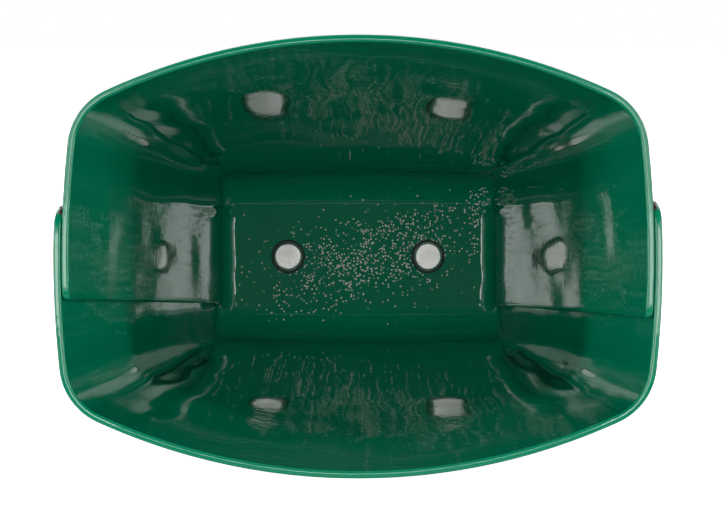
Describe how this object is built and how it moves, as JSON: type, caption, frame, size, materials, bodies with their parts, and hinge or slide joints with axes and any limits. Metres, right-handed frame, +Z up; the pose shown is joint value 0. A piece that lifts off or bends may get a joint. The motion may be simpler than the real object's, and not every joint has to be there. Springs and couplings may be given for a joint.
{
  "type": "percussion cowbell",
  "caption": "Folded sheet-steel percussion bell, open at its wide bowed mouth, with a riveted strap, eye bolt and wing nut that clamp it on a rod.",
  "frame": {"origin": "on the surface that the bell lies on, under the middle of its bounding box", "axes": "+X across the bell to the right when looking into the mouth from outside, +Y from the mouth back to the clamp, +Z up; the bell lies on its lower panel, so its axis drops 6.63 degrees from the mouth to the clamp"},
  "size_m": [0.14, 0.2512, 0.1013],
  "materials": {
    "green_coat": "glossy powder coat with slight orange peel on folded sheet steel",
    "seam_braze": "dark copper-red braze bead",
    "rivet_steel": "bright hammered steel",
    "black_washer": "black oxide",
    "strap_plate": "bright nickel plate on pressed steel",
    "bolt_plate": "bright zinc plate",
    "spring_steel": "grey spring steel"
  },
  "bodies": {
    "bell": {"bell_shell": "green_coat", "left_seam_braze": "seam_braze", "right_seam_braze": "seam_braze", "left_crown_braze": "green_coat", "right_crown_braze": "green_coat", "left_rivet": "rivet_steel", "right_rivet": "rivet_steel", "left_rivet_washer": "black_washer", "right_rivet_washer": "black_washer", "mount_bracket": "strap_plate", "flat_washer": "bolt_plate", "lock_washer": "spring_steel"},
    "eye_bolt": {"eye_bolt": "bolt_plate"},
    "wing_nut": {"wing_nut": "bolt_plate"}
  },
  "joints": [
    {"name": "wing_nut_spin", "type": "hinge", "parent": "bell", "child": "wing_nut", "pos_m": [0, 0.10953, 0.02401], "axis": [0, -0.9933, 0.1155], "range_deg": [0, 900]},
    {"name": "eye_bolt_draw", "type": "slide", "parent": "bell", "child": "eye_bolt", "axis": [0, 0.9933, -0.1155], "range_m": [0, 0.0025]}
  ],
  "couplings": [
    {"joint": "wing_nut_spin", "follows": "eye_bolt_draw", "rad_per_m": 6283.1}
  ]
}
